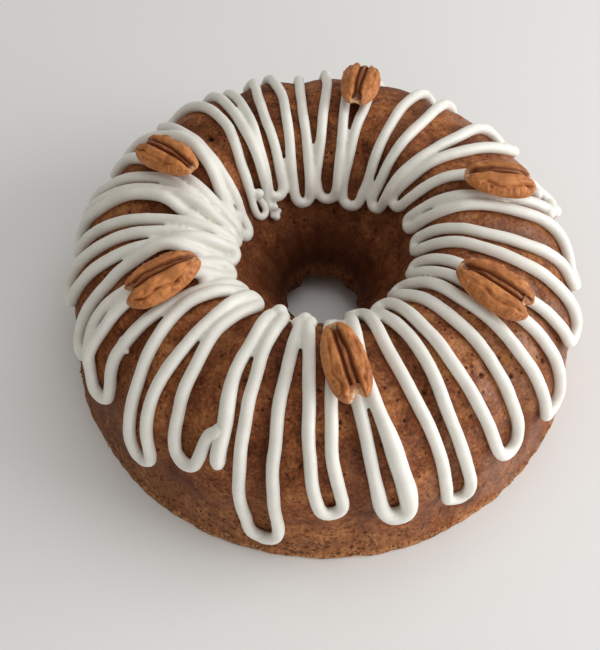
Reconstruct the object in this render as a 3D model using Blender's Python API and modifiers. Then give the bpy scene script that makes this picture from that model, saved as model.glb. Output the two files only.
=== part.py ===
"""Ring cake from a fluted tin, with a piped icing zigzag and six pecan halves.

Lengths are metres and +Z is up. The origin is the centre of the underside. An angle is
in degrees, counted from the front, which faces -Y, towards +X. A reach is a distance
along the cake's surface, up the hole's wall, over the crest and down the outside.
"""
import math
from bisect import bisect_right

import bmesh
import bpy
from mathutils import Matrix, Vector
from mathutils.bvhtree import BVHTree

# Driving dimensions of the cake
BASE_RADIUS = 0.115
HEIGHT = 0.0763
CREST_RADIUS = 0.0587
CREST_REACH = 0.0886
SHOULDER_RADIUS = 0.1096
SHOULDER_HEIGHT = 0.0258
INNER_SPAN = 0.0331
INNER_POWER = 1.888
OUTER_POWER = 2.2
LIP_TOP = 0.0035
LIP_HEIGHT = 0.0022
LIP_DEPTH = 0.0013
LIP_FOOT = 0.0006

# The hole: a funnel inside the crest, above a narrow throat with a neck near its foot
FUNNEL_TOP = 0.0632
FUNNEL_SLOPE = 0.64
THROAT_RADIUS = 0.0188
THROAT_SOFTNESS = 0.0020
NECK_DEPTH = 0.0024
NECK_HEIGHT = 0.0130
NECK_SPREAD = 0.0055
FOOT_FLARE = 0.0072
FOOT_RISE = 0.0070
THROAT_ROWS = (0.0, 0.0130, 0.0200, 0.0330)
INNER_STEPS = 2
OUTER_STEPS = 5
FINE_PROFILE_STEPS = 48

# Flutes of the tin
FLUTES = 18
FLUTE_DEPTH = 0.0020
FLUTE_START = 8.0
FLUTE_FADE = 0.022
FLUTE_SHARPNESS = 1.5
INNER_FLUTE_SHARE = 0.4
INNER_FLUTE_BLEND = 0.25 * CREST_RADIUS
FLUTE_CORE = (CREST_RADIUS, 0.45 * HEIGHT)
STEPS_PER_FLUTE = 4

# Piped icing
ROPE_DIAMETER = 0.0052
ROPE_GAP = 0.0004
HIGH_REACH = 0.095
LOW_REACH = 0.130
TURN_HALF_WIDTH = (0.0030, 0.0060)
INNER_HALF_WIDTH = 0.0030
TURN_POINTS = 5
TURN_RUN_IN = 0.012
ROPE_STEP = 0.018
SETTLE_PASSES = 12
SETTLE_SAMPLES = 6

# Pecan halves
PECAN_LENGTH = 0.034
PECAN_WIDTH = 0.0185
PECAN_HEIGHT = 0.0095
PECAN_TAPER = 0.12
PECAN_RIM = 0.18
PECAN_BELLY = 0.22
PECAN_GROOVE = (0.0, 0.16, 0.42)
PECAN_SIDE_GROOVE = (0.62, 0.12, 0.10)
PECAN_GAP = 0.0004
PECAN_SINK = 0.0012
PECAN_AIM = 0.002
PECAN_STEP = 0.0002
PECAN_MAX_STEPS = 30

WELD_DISTANCE = 0.00001
MM = 0.001

# One row for each outer loop of the piping, in the order it was piped: the angle of the
# strand that runs out, at the high and the low reach, the angle and reach of the turn
# near the base, the angles of the strand that runs back, at the low and the high reach,
# and the angle and reach of the turn inside the crest. Reaches are millimetres.
# Each run starts with a few points and a hook: the angle and reach of its tip and the
# angles of its two sides. It ends with one more outer loop and the points of its tail.
FIRST_PIPING = (
    (-19, -16.4, -10.7, 181, -9.2, -8.5, -6, 77),
    (-4.5, -1.7, 3, 155, 3.4, 3.5, 6.5, 76),
    (9, 10.8, 16, 162, 15.5, 14, 18.5, 72),
    (22, 25, 30.5, 171, 30, 31, 31.5, 69),
    (36.5, 37.5, 42.5, 158, 44.3, 46.5, 48.5, 62),
    (54.5, 53.5, 59, 166, 59, 62, 67, 62),
    (68, 68.5, 72, 152, 76, 78, 88, 62),
    (84.3, 81.5, 82, 145, 91, 97, 107.5, 60),
    (102, 100, 103, 135, 109, 112.5, 124.5, 60),
    (123, 121, 123, 140, 127, 129.2, 139, 54),
    (142.5, 144.5, 148.5, 150, 151, 152, 157, 51.5),
    (165, 166, 169, 150, 172, 173.2, 178, 51.5),
    (180.5, 180.5, 184.5, 150, 188.5, 189.4, 196.5, 52),
    (196.5, 197, 200, 150, 201.5, 205, 213.5, 57),
)
FIRST_START = ((-20.7, 137), (-21.2, 126), (-24, 95))
FIRST_HOOK = (-21.5, 77, -24, -19)
FIRST_LAST = (211.7, 209, 211, 150, 213.5, 215.6)
FIRST_TAIL = ((221, 66), (223.5, 51))
SECOND_PIPING = (
    (-139.3, -140.8, -135, 145, -129.5, -125, -103, 54),
    (-122.5, -123, -117, 148, -114, -108.5, -90, 59),
    (-105, -105, -102.5, 146, -100.5, -100, -82, 65),
    (-96.5, -97.5, -93, 151, -89, -87.7, -75.5, 66),
    (-82.5, -83.5, -80.5, 152, -77.5, -78, -69, 67),
    (-75, -72, -65, 148, -66, -65, -58, 71),
    (-61, -59.5, -54.5, 154, -52, -52.5, -46, 71),
    (-50.5, -44.5, -40.5, 164, -39, -39.5, -35.5, 71),
)
SECOND_START = ((-131.5, 64),)
SECOND_HOOK = (-126.5, 54.5, -131.5, -121.5)
SECOND_LAST = (-36, -32, -28, 147, -24.5, -23.5)
SECOND_TAIL = ()

# Each pecan half: angle, reach in millimetres, turn of its long axis, share of full size
PECANS = (
    (-111.5, 99, -13, 0.93),
    (-59.3, 99.3, 2, 0.97),
    (7.7, 98.5, 10, 0.95),
    (60.3, 102.8, 0, 0.97),
    (103.2, 101.2, -12, 0.91),
    (168, 101.5, 4, 0.92),
)
PECAN_SEGMENTS = 12
PECAN_RINGS = 8


def clear_scene():
    for obj in list(bpy.data.objects):
        bpy.data.objects.remove(obj, do_unlink=True)


def new_collection(name):
    collection = bpy.data.collections.new(name)
    bpy.context.scene.collection.children.link(collection)
    return collection


def finish_material(name, color, roughness):
    material = bpy.data.materials.new(name)
    material.use_nodes = True
    shader = material.node_tree.nodes["Principled BSDF"]
    shader.inputs["Base Color"].default_value = (*color, 1.0)
    shader.inputs["Roughness"].default_value = roughness
    shader.inputs["Metallic"].default_value = 0.0
    material.diffuse_color = (*color, 1.0)
    return material


def add_object(name, mesh, collection, material=None):
    obj = bpy.data.objects.new(name, mesh)
    collection.objects.link(obj)
    if material is not None:
        mesh.materials.clear()
        mesh.materials.append(material)
    return obj


def evaluated_mesh(obj):
    """The mesh of an object with its modifiers, as new data."""
    bpy.context.view_layer.update()
    depsgraph = bpy.context.evaluated_depsgraph_get()
    return bpy.data.meshes.new_from_object(obj.evaluated_get(depsgraph))


def edit_mesh(mesh, change):
    """Run one bmesh edit on a mesh and write it back."""
    work = bmesh.new()
    work.from_mesh(mesh)
    change(work)
    work.to_mesh(mesh)
    work.free()
    mesh.update()


# The cake's outline: (radius, height) from the foot of the hole to the foot of the side

def inner_crest(turn):
    """A point of the superellipse from the hole's wall, at turn 0, up to the crest."""
    reach_in = max(math.cos(turn), 0.0) ** (2 / INNER_POWER)
    return CREST_RADIUS - INNER_SPAN * reach_in, HEIGHT * math.sin(turn) ** (2 / INNER_POWER)


FUNNEL_TURN = math.asin((FUNNEL_TOP / HEIGHT) ** (INNER_POWER / 2))


def throat_radius(height):
    """Radius of the hole below the funnel's top, where the funnel runs into the throat."""
    funnel = inner_crest(FUNNEL_TURN)[0] - FUNNEL_SLOPE * (FUNNEL_TOP - height)
    above = math.exp((funnel - THROAT_RADIUS) / THROAT_SOFTNESS)
    neck = NECK_DEPTH * math.exp(-(((height - NECK_HEIGHT) / NECK_SPREAD) ** 2))
    foot = FOOT_FLARE * math.exp(-((height / FOOT_RISE) ** 2))
    return THROAT_RADIUS + THROAT_SOFTNESS * math.log1p(above) - neck + foot


def hole_profile(throat_rows, steps):
    """The hole's wall, from its foot up to the crest."""
    points = [(throat_radius(height), height) for height in throat_rows]
    for i in range(steps + 1):
        points.append(inner_crest(FUNNEL_TURN + (0.5 * math.pi - FUNNEL_TURN) * i / steps))
    return points


def outer_profile(steps):
    """A quarter of a superellipse, from the crest down to the shoulder."""
    points = []
    for i in range(1, steps + 1):
        turn = 0.5 * math.pi * i / steps
        rise = math.cos(turn) ** (2 / OUTER_POWER) if i < steps else 0.0
        radius = CREST_RADIUS + (SHOULDER_RADIUS - CREST_RADIUS) * math.sin(turn) ** (2 / OUTER_POWER)
        points.append((radius, SHOULDER_HEIGHT + (HEIGHT - SHOULDER_HEIGHT) * rise))
    return points


def reach_along(profile, first):
    """The reach of every point of a profile whose first point has a given reach."""
    reaches = [first]
    for near, far in zip(profile, profile[1:]):
        reaches.append(reaches[-1] + math.dist(near, far))
    return reaches


FINE_THROAT = [FUNNEL_TOP * i / FINE_PROFILE_STEPS for i in range(FINE_PROFILE_STEPS)]
FINE_HOLE = hole_profile(FINE_THROAT, FINE_PROFILE_STEPS)
FINE_PROFILE = FINE_HOLE + outer_profile(FINE_PROFILE_STEPS) + [(BASE_RADIUS, 0.0)]
FINE_REACH = reach_along(FINE_PROFILE, CREST_REACH - reach_along(FINE_HOLE, 0.0)[-1])


def profile_at(reach):
    """Radius, height and outward direction of the plain outline at a reach in metres."""
    i = min(max(bisect_right(FINE_REACH, reach), 1), len(FINE_PROFILE) - 1)
    (r0, z0), (r1, z1) = FINE_PROFILE[i - 1], FINE_PROFILE[i]
    span = FINE_REACH[i] - FINE_REACH[i - 1]
    share = (reach - FINE_REACH[i - 1]) / span
    outward = (-(z1 - z0) / span, (r1 - r0) / span)
    return r0 + (r1 - r0) * share, z0 + (z1 - z0) * share, outward


def flute_depth(angle, radius, height):
    """Depth of the groove between two flutes: full at the crown, fading to the base."""
    wave = abs(math.sin(math.radians(FLUTES * (angle - FLUTE_START) / 2)))
    fade = min(1.0, height / FLUTE_FADE)
    inside = min(1.0, max(0.0, CREST_RADIUS - radius) / INNER_FLUTE_BLEND)
    share = 1.0 - (1.0 - INNER_FLUTE_SHARE) * inside
    return FLUTE_DEPTH * share * fade * (1.0 - wave) ** FLUTE_SHARPNESS


def surface(angle, reach, lift):
    """A point at a lift above the fluted surface, and the surface's normal there."""
    radius, height, (out_r, out_z) = profile_at(reach)
    lift = lift - flute_depth(angle, radius, height)
    turn = math.radians(angle - 90)
    across, along = math.cos(turn), math.sin(turn)
    normal = Vector((out_r * across, out_r * along, out_z))
    return Vector((radius * across, radius * along, height)) + normal * lift, normal


# The cake

def cake_outline():
    """Closed outline of the ring's section, with a thin lip round the base."""
    crown = hole_profile(THROAT_ROWS, INNER_STEPS) + outer_profile(OUTER_STEPS)
    foot = BASE_RADIUS - LIP_DEPTH
    lip = [(foot, LIP_TOP), (BASE_RADIUS, LIP_HEIGHT), (BASE_RADIUS, LIP_FOOT)]
    return crown + lip + [(foot, 0.0)]


def press_flutes(work):
    """Push the turned ring in along its grooves, towards the middle of its section."""
    core = Vector(FLUTE_CORE)
    for vertex in work.verts:
        radius = math.hypot(vertex.co.x, vertex.co.y)
        angle = math.degrees(math.atan2(vertex.co.y, vertex.co.x)) + 90
        inward = (core - Vector((radius, vertex.co.z))).normalized()
        depth = flute_depth(angle, radius, vertex.co.z)
        scale = (radius + inward.x * depth) / radius
        vertex.co.x *= scale
        vertex.co.y *= scale
        vertex.co.z += inward.y * depth


def make_cake(collection):
    outline = cake_outline()
    edges = [(i, (i + 1) % len(outline)) for i in range(len(outline))]
    section = bpy.data.meshes.new("section")
    section.from_pydata([(r, 0.0, z) for r, z in outline], edges, [])
    turned = add_object("turned", section, collection)
    turned.rotation_euler.z = math.radians(FLUTE_START - 90)
    screw = turned.modifiers.new("turn", "SCREW")
    screw.steps = FLUTES * STEPS_PER_FLUTE
    screw.render_steps = screw.steps
    screw.use_merge_vertices = True
    screw.merge_threshold = WELD_DISTANCE
    mesh = evaluated_mesh(turned)
    mesh.transform(turned.matrix_world)
    bpy.data.objects.remove(turned, do_unlink=True)
    mesh.name = "cake"

    def shape(work):
        bmesh.ops.remove_doubles(work, verts=work.verts[:], dist=WELD_DISTANCE)
        press_flutes(work)
        bmesh.ops.recalc_face_normals(work, faces=work.faces[:])

    edit_mesh(mesh, shape)
    mesh.shade_smooth()
    mesh.set_sharp_from_angle(angle=math.radians(40))
    crust = finish_material("crust", (0.20, 0.085, 0.035), 0.55)
    return add_object("cake", mesh, collection, crust)


# The icing

def turn_points(tip, strands, half_width):
    """Half a circle of route points whose far side is the tip, open towards the strands."""
    radius = profile_at(tip[1])[0]
    middle = sum(angle for angle, reach in strands) / 2
    along = Vector((math.radians(tip[0] - middle) * radius, tip[1] - strands[0][1])).normalized()
    across = Vector((abs(along.y), -along.x * math.copysign(1.0, along.y)))
    points = []
    for i in range(TURN_POINTS):
        turn = math.pi * (i / (TURN_POINTS - 1) - 0.5)
        offset = (across * math.sin(turn) + along * (math.cos(turn) - 1.0)) * half_width
        points.append((tip[0] + math.degrees(offset.x / radius), tip[1] + offset.y))
    return points


def outer_loop(out_high, out_low, turn, reach, back_low, back_high):
    """Route points of one loop round the outside: a strand out, a turn and a strand back."""
    reach *= MM
    low = min(LOW_REACH, reach - TURN_RUN_IN)
    half = 0.5 * math.radians(back_low - out_low) * profile_at(reach)[0]
    half = min(max(half, TURN_HALF_WIDTH[0]), TURN_HALF_WIDTH[1])
    out, back = (out_low, low), (back_low, low)
    rounded = turn_points((turn, reach), (out, back), half)
    return [(out_high, HIGH_REACH), out, *rounded, back, (back_high, HIGH_REACH)]


def inner_turn(angle, reach, before, after):
    """Route points of one turn inside the crest, between the strands at two angles."""
    strands = ((before, HIGH_REACH), (after, HIGH_REACH))
    return turn_points((angle, reach * MM), strands, INNER_HALF_WIDTH)


def piping_route(start, hook, loops, last, tail):
    """Angle and reach of every route point of one run of the piping bag."""
    route = [(angle, reach * MM) for angle, reach in start]
    route += inner_turn(*hook)
    following = [row[0] for row in loops[1:]] + [last[0]]
    for row, next_out in zip(loops, following):
        route += outer_loop(*row[:6])
        route += inner_turn(*row[6:], row[5], next_out)
    route += outer_loop(*last)
    return route + [(angle, reach * MM) for angle, reach in tail]


def surface_gap(near, far):
    """Distance over the surface between two route points."""
    radius = 0.5 * (profile_at(near[1])[0] + profile_at(far[1])[0])
    return math.hypot(math.radians(far[0] - near[0]) * radius, far[1] - near[1])


def smooth_route(route, step):
    """The route's own points, and points at most a step apart on a smooth curve between."""
    knots = [0.0]
    for near, far in zip(route, route[1:]):
        knots.append(knots[-1] + math.sqrt(surface_gap(near, far)))
    points = [Vector(point) for point in route]

    def slope(i):
        if i == 0:
            return (points[1] - points[0]) / knots[1]
        before = (points[i] - points[i - 1]) / (knots[i] - knots[i - 1])
        if i == len(points) - 1:
            return before
        after = (points[i + 1] - points[i]) / (knots[i + 1] - knots[i])
        across = (points[i + 1] - points[i - 1]) / (knots[i + 1] - knots[i - 1])
        return before + after - across

    slopes = [slope(i) for i in range(len(points))]
    smooth = []
    for i in range(len(points) - 1):
        width = knots[i + 1] - knots[i]
        count = math.ceil(surface_gap(route[i], route[i + 1]) / step)
        for k in range(count):
            t = k / count
            ease = t * t * (3 - 2 * t)
            pull = slopes[i] * (t**3 - 2 * t**2 + t) + slopes[i + 1] * (t**3 - t**2)
            smooth.append(points[i].lerp(points[i + 1], ease) + pull * width)
    smooth.append(points[-1])
    return smooth


def settle(stations, normals, surface_tree):
    """Lift the stations until the straight rope between them clears the cake."""
    need = 0.5 * ROPE_DIAMETER + ROPE_GAP
    for _ in range(SETTLE_PASSES):
        lifts = [0.0] * len(stations)
        for i in range(len(stations) - 1):
            for k in range(SETTLE_SAMPLES + 1):
                middle = stations[i].lerp(stations[i + 1], k / SETTLE_SAMPLES)
                short = need - surface_tree.find_nearest(middle)[3]
                lifts[i] = max(lifts[i], short)
                lifts[i + 1] = max(lifts[i + 1], short)
        stations = [place + up * lift for place, up, lift in zip(stations, normals, lifts)]
    return stations


def make_rope(name, route, surface_tree, collection):
    """One piped rope as a closed mesh object, a bevelled curve with welded caps."""
    lift = 0.5 * ROPE_DIAMETER + ROPE_GAP
    places = [surface(angle, reach, lift) for angle, reach in smooth_route(route, ROPE_STEP)]
    normals = [normal for place, normal in places]
    stations = settle([place for place, normal in places], normals, surface_tree)
    curve = bpy.data.curves.new(name, "CURVE")
    curve.dimensions = "3D"
    curve.bevel_depth = 0.5 * ROPE_DIAMETER
    curve.bevel_resolution = 1
    curve.use_fill_caps = True
    spline = curve.splines.new("POLY")
    spline.points.add(len(stations) - 1)
    for point, station in zip(spline.points, stations):
        point.co = (*station, 1.0)
    guide = bpy.data.objects.new(name + "_guide", curve)
    collection.objects.link(guide)
    mesh = evaluated_mesh(guide)
    bpy.data.objects.remove(guide, do_unlink=True)

    def weld(work):
        bmesh.ops.remove_doubles(work, verts=work.verts[:], dist=WELD_DISTANCE)
        bmesh.ops.recalc_face_normals(work, faces=work.faces[:])

    edit_mesh(mesh, weld)
    return add_object(name, mesh, collection)


def join_into(target, tool):
    """Boolean union of one mesh object with another, which is then hidden as a cutter."""
    union = target.modifiers.new("join_" + tool.name, "BOOLEAN")
    union.operation = "UNION"
    union.solver = "EXACT"
    union.use_self = True
    union.object = tool
    tool.hide_render = True
    tool.display_type = "WIRE"


def mesh_tree(mesh, place=Matrix()):
    """A search tree of a mesh's faces, with its points moved by a matrix."""
    points = [place @ vertex.co for vertex in mesh.vertices]
    return BVHTree.FromPolygons(points, [polygon.vertices for polygon in mesh.polygons])


def make_icing(cake, collection, cutters):
    cake_tree = mesh_tree(cake.data)
    first = piping_route(FIRST_START, FIRST_HOOK, FIRST_PIPING, FIRST_LAST, FIRST_TAIL)
    second = piping_route(SECOND_START, SECOND_HOOK, SECOND_PIPING, SECOND_LAST, SECOND_TAIL)
    icing = make_rope("icing", first, cake_tree, collection)
    join_into(icing, make_rope("second_run", second, cake_tree, cutters))
    sugar = finish_material("icing", (0.83, 0.82, 0.78), 0.4)
    icing.data.materials.append(sugar)
    return icing


# The pecan halves

def groove(y, line):
    """How deep a lengthwise groove cuts, as a share of the height, at a place across."""
    place, width, depth = line
    return depth * math.exp(-(((abs(y) - place) / width) ** 2))


def shape_pecan(work, size):
    """Turn a unit ball, poles along X, into a half nut: flat below, two lobes above."""
    for vertex in work.verts:
        x, y, z = vertex.co
        cut = (groove(y, PECAN_GROOVE) + groove(y, PECAN_SIDE_GROOVE)) * (1.0 - x * x)
        rise = z * (1.0 - cut) if z > 0 else PECAN_BELLY * z
        vertex.co.x = 0.5 * PECAN_LENGTH * x * size
        vertex.co.y = 0.5 * PECAN_WIDTH * y * (1.0 - PECAN_TAPER * x) * size
        vertex.co.z = PECAN_HEIGHT * (PECAN_RIM + (1.0 - PECAN_RIM) * rise) * size


def lay_down(mesh, frame, place, normal, trees):
    """The lowest place along the normal at which a piece stays clear of what is below."""
    for i in range(PECAN_MAX_STEPS):
        moved = Matrix.Translation(place + normal * (i * PECAN_STEP)) @ frame
        piece = mesh_tree(mesh, moved)
        if not any(piece.overlap(tree) for tree in trees):
            break
    return Matrix.Translation(normal * PECAN_GAP) @ moved


def make_pecan(name, angle, reach, turn, size, trees, collection, material):
    mesh = bpy.data.meshes.new(name)

    def ball(work):
        poles_along_x = Matrix.Rotation(math.radians(90), 4, "Y")
        bmesh.ops.create_uvsphere(
            work, u_segments=PECAN_SEGMENTS, v_segments=PECAN_RINGS, radius=1.0, matrix=poles_along_x
        )
        shape_pecan(work, size)
        bmesh.ops.recalc_face_normals(work, faces=work.faces[:])

    edit_mesh(mesh, ball)
    mesh.shade_smooth()
    nut = add_object(name, mesh, collection, material)
    lift = ROPE_DIAMETER + ROPE_GAP - PECAN_SINK
    place, normal = surface(angle, reach * MM, lift)
    ahead = surface(angle, reach * MM + PECAN_AIM, lift)[0] - place
    ahead = (ahead - normal * ahead.dot(normal)).normalized()
    sideways = normal.cross(ahead)
    frame = Matrix((ahead, sideways, normal)).transposed().to_4x4()
    frame = frame @ Matrix.Rotation(math.radians(turn), 4, "Z")
    nut.matrix_world = lay_down(mesh, frame, place, normal, trees)
    return nut


def main():
    clear_scene()
    cake_parts = new_collection("ring_cake")
    cutters = new_collection("cutters")
    cake = make_cake(cake_parts)
    icing = make_icing(cake, cake_parts, cutters)
    trees = (mesh_tree(cake.data), mesh_tree(evaluated_mesh(icing)))
    nut = finish_material("pecan", (0.42, 0.17, 0.06), 0.5)
    for i, (angle, reach, turn, size) in enumerate(PECANS, 1):
        make_pecan(f"pecan_{i}", angle, reach, turn, size, trees, cake_parts, nut)


main()
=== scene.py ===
"""Ring cake from a fluted tin, dressed: crust, piped icing, pecan halves and crumbs.

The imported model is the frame: it gives the cake's size and the places of the pecan halves.
Lengths are metres and +Z is up. An angle is in degrees, counted from the front, which faces
-Y, towards +X. A reach is a distance along the cake's surface, up the hole's wall, over the
crest and down the outside.
"""
import math
import random
from bisect import bisect_right

import bpy
import numpy as np
from bpy.props import FloatProperty, FloatVectorProperty, IntProperty, PointerProperty
from bpy.types import Operator, Panel, PropertyGroup
from mathutils import Matrix, Vector, noise


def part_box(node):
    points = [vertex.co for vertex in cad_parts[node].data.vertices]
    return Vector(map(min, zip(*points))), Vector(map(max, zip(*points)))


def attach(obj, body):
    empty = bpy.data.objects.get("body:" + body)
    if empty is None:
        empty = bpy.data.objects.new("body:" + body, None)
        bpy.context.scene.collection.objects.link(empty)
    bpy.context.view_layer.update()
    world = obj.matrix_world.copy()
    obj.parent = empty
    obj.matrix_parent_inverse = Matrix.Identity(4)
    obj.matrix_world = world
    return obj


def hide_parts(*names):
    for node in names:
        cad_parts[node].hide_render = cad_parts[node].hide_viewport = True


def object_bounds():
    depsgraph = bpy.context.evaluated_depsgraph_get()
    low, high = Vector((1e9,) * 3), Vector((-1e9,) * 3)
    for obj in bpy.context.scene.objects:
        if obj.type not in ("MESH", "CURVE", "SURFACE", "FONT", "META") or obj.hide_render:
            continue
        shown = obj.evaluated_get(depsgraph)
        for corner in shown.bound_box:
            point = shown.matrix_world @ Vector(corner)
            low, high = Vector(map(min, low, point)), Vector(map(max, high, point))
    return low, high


bl_info = {
    "name": "Ring Cake with Piped Icing",
    "version": (1, 0, 0),
    "blender": (4, 5, 0),
    "location": "3D View > Sidebar > Ring Cake",
    "description": "Dresses a packed ring cake: crust, piped icing, pecan halves and crumbs",
    "category": "Object",
}

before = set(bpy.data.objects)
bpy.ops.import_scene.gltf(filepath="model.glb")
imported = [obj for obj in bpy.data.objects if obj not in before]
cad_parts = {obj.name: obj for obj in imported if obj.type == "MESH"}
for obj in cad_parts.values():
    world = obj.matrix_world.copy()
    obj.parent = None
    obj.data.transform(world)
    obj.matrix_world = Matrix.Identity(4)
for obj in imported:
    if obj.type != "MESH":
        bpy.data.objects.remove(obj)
CAD_LOW, CAD_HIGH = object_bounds()
CAKE_LOW, CAKE_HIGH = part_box("cake")

MM = 0.001
WELD_DISTANCE = 0.00001

# Outline of the cake
BASE_RADIUS = max(CAKE_HIGH.x, CAKE_HIGH.y)
HEIGHT = CAKE_HIGH.z - CAKE_LOW.z
CREST_RADIUS = 0.0587
CREST_REACH = 0.0886
SHOULDER_RADIUS = 0.1096
SHOULDER_HEIGHT = 0.0258
INNER_SPAN = 0.0331
INNER_POWER = 1.888
OUTER_POWER = 2.2
LIP_TOP = 0.0035
LIP_HEIGHT = 0.0022
LIP_DEPTH = 0.0013
LIP_FOOT = 0.0006
FINE_PROFILE_STEPS = 96

# The hole: a funnel inside the crest, above a narrow throat with a neck near its foot
FUNNEL_TOP = 0.0632
FUNNEL_SLOPE = 0.64
THROAT_RADIUS = 0.0188
THROAT_SOFTNESS = 0.0015
NECK_DEPTH = 0.0024
NECK_HEIGHT = 0.0130
NECK_SPREAD = 0.0055
FOOT_FLARE = 0.0072
FOOT_RISE = 0.0070

# Flutes of the tin
FLUTES = 18
FLUTE_START = 8.0
FLUTE_FADE = 0.022
FLUTE_SHARPNESS = 1.5
INNER_FLUTE_SHARE = 0.4
INNER_FLUTE_BLEND = 0.25 * CREST_RADIUS

# Air holes that broke through the crust: angle, reach and radius in millimetres
AIR_HOLES = (
    (-132, 98, 1.7), (-111, 84, 0.9), (-96, 121, 0.9), (-50, 125, 1.0), (-7.5, 117.5, 0.8),
    (-0.5, 106, 1.1), (0, 93.5, 1.0), (5, 117.5, 1.0), (20, 121, 0.9), (23, 135.5, 0.6),
    (27.5, 114, 1.2), (42.5, 119.5, 1.3), (44, 111.5, 0.8), (49.5, 129, 1.1), (59, 136.5, 1.3),
)

# Piping: each row is one outer loop, in the order it was piped. The angle of the strand that
# runs out, at the high and the low reach, the angle and reach of the turn near the base, the
# angles of the strand that runs back, at the low and the high reach, and the angle, reach and
# half width of the turn inside the crest. Reaches and widths are millimetres. Each run starts
# with a few points and a hook: the angle, reach and half width of its tip and the angles of
# its two sides. It ends with one more outer loop and the points of its tail.
FIRST_PIPING = (
    (-18.5, -16.6, -10.5, 181, -9.6, -10.0, -7.5, 78.5, 1.5),
    (-3.8, -1.8, 2.9, 155, 2.9, 3.4, 6.5, 78, 2.4),
    (9, 10.8, 15.7, 160, 15.9, 12.6, 18.2, 69.5, 2.7),
    (22, 25.2, 29.8, 171, 30.2, 31, 31.7, 70.2, 3.0),
    (36.7, 37.5, 42, 156.5, 45.7, 47.5, 49, 63.5, 3.0),
    (54.7, 53.8, 57.8, 165, 61.4, 61, 68, 64, 3.0),
    (68, 68.9, 73, 152, 76.4, 77.9, 88.3, 62, 3.2),
    (84.8, 84.4, 84, 145, 93.6, 97, 107, 60.5, 2.6),
    (101.5, 100, 104, 138, 109, 112.5, 126.3, 61, 2.9),
    (123.5, 121.3, 126, 140, 131, 130, 138.6, 54, 2.7),
    (142.2, 145, 148.5, 150, 152, 152.2, 159, 49.8, 4.2),
    (165, 166, 169, 150, 172, 172.7, 178.4, 51, 4.1),
    (180.5, 180.5, 184.5, 150, 188, 189.6, 197.6, 50, 3.0),
    (196.5, 196.3, 199.2, 150, 200.8, 205.3, 215.5, 57, 3.1),
)
FIRST_START = ((-20.5, 141), (-21.2, 126), (-23.4, 108), (-23.8, 97))
FIRST_HOOK = (-20.3, 77, 2.1, -22.6, -18.5)
FIRST_LAST = (211.3, 208.6, 211, 150, 213.2, 215.5)
FIRST_TAIL = ((222.5, 66), (224, 56), (223.5, 50))
SECOND_PIPING = (
    (-139, -139.6, -135, 145, -129.8, -125, -103, 55, 3.0),
    (-122.5, -123, -117, 148, -115.6, -110.4, -90, 60.5, 3.0),
    (-105, -105, -102.5, 146, -100.5, -100, -82, 66, 2.6),
    (-96.5, -97.5, -93.5, 151, -90.6, -88, -75.5, 67.5, 2.6),
    (-82.5, -83.5, -80.3, 152, -77.8, -77.5, -69, 68.5, 2.6),
    (-74.5, -70.5, -63.2, 148, -64.9, -65, -58, 72, 2.7),
    (-62, -61.2, -53.6, 154, -54, -53.5, -46, 72.5, 2.3),
    (-50.3, -44.5, -38.2, 162, -39.6, -39.9, -35.5, 72.5, 2.2),
)
SECOND_START = ((-130, 64.5), (-131.8, 60))
SECOND_HOOK = (-127.5, 53.0, 2.7, -131.5, -123)
SECOND_LAST = (-35.6, -32.7, -28, 147, -23.8, None)
SECOND_TAIL = ((-22.2, 128), (-20.9, 124.5))

# Icing that ran together on the inside of the left: the points of four broad ribbons
POOLS = (
    ((-112, 62.5), (-98, 65), (-84, 68), (-68, 72), (-52, 75)),
    ((-106, 68), (-92, 71), (-76, 75), (-60, 78)),
    ((-102, 74), (-92, 77), (-80, 80), (-66, 82), (-55, 84.5)),
    ((-100, 80), (-92, 83), (-84, 84.5), (-74, 84)),
)
POOL_RADIUS = 0.0032
POOL_LIFT = 0.0004

# Knobs and torn bits of the two runs: angle, reach, radius and lift in millimetres
FIRST_BLOBS = (
    (-20.3, 77, 3.2, 0.8), (-17.8, 78.3, 2.7, 0.5), (-7.6, 78.2, 3.1, 0.9), (-10.1, 79.3, 2.8, 0.5),
    (-5.1, 79.3, 2.8, 0.5), (3.3, 78.3, 2.2, 0.4),
    (99, 127, 3.2, -0.9), (102.5, 131.5, 3.2, -1.1), (106, 127, 3.0, -1.3),
    (-138.3, 53.5, 1.7, 0.9), (-141, 50.6, 1.3, 0.5), (-136.6, 49, 1.8, 0.6), (-134.2, 50.2, 1.2, 0.6),
)
SECOND_BLOBS = (
    (-130.8, 63.5, 2.4, 1.5), (-55.3, 123.5, 1.2, 1.6), (-52.5, 125.5, 1.1, 1.6),
)
HIGH_REACH = 0.095
LOW_REACH = 0.130
TURN_HALF_WIDTH = (0.0030, 0.0060)
TURN_POINTS = 5
TURN_RUN_IN = 0.012
ROPE_STEP = 0.0013

# Thick and thin stretches of the piping: angle, reach, half length and half width in
# millimetres, and extra width
UNEVEN_STRETCHES = (
    (15.8, 141, 22, 4, 0.40),
    (15.6, 152, 10, 8, 0.24),
    (185, 85, 45, 52, -0.10),
    (95, 85, 30, 36, -0.06),
    (-21.3, 126, 20, 3, 0.20),
    (-52.3, 121, 5, 3, 0.14),
    (-126.5, 57, 10, 8, -0.26),
    (-137, 54, 14, 3, -0.20),
)
END_RUN_OUT = 0.026
GAP_FILL = 0.00008
ROPE_FACES = 190000

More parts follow.
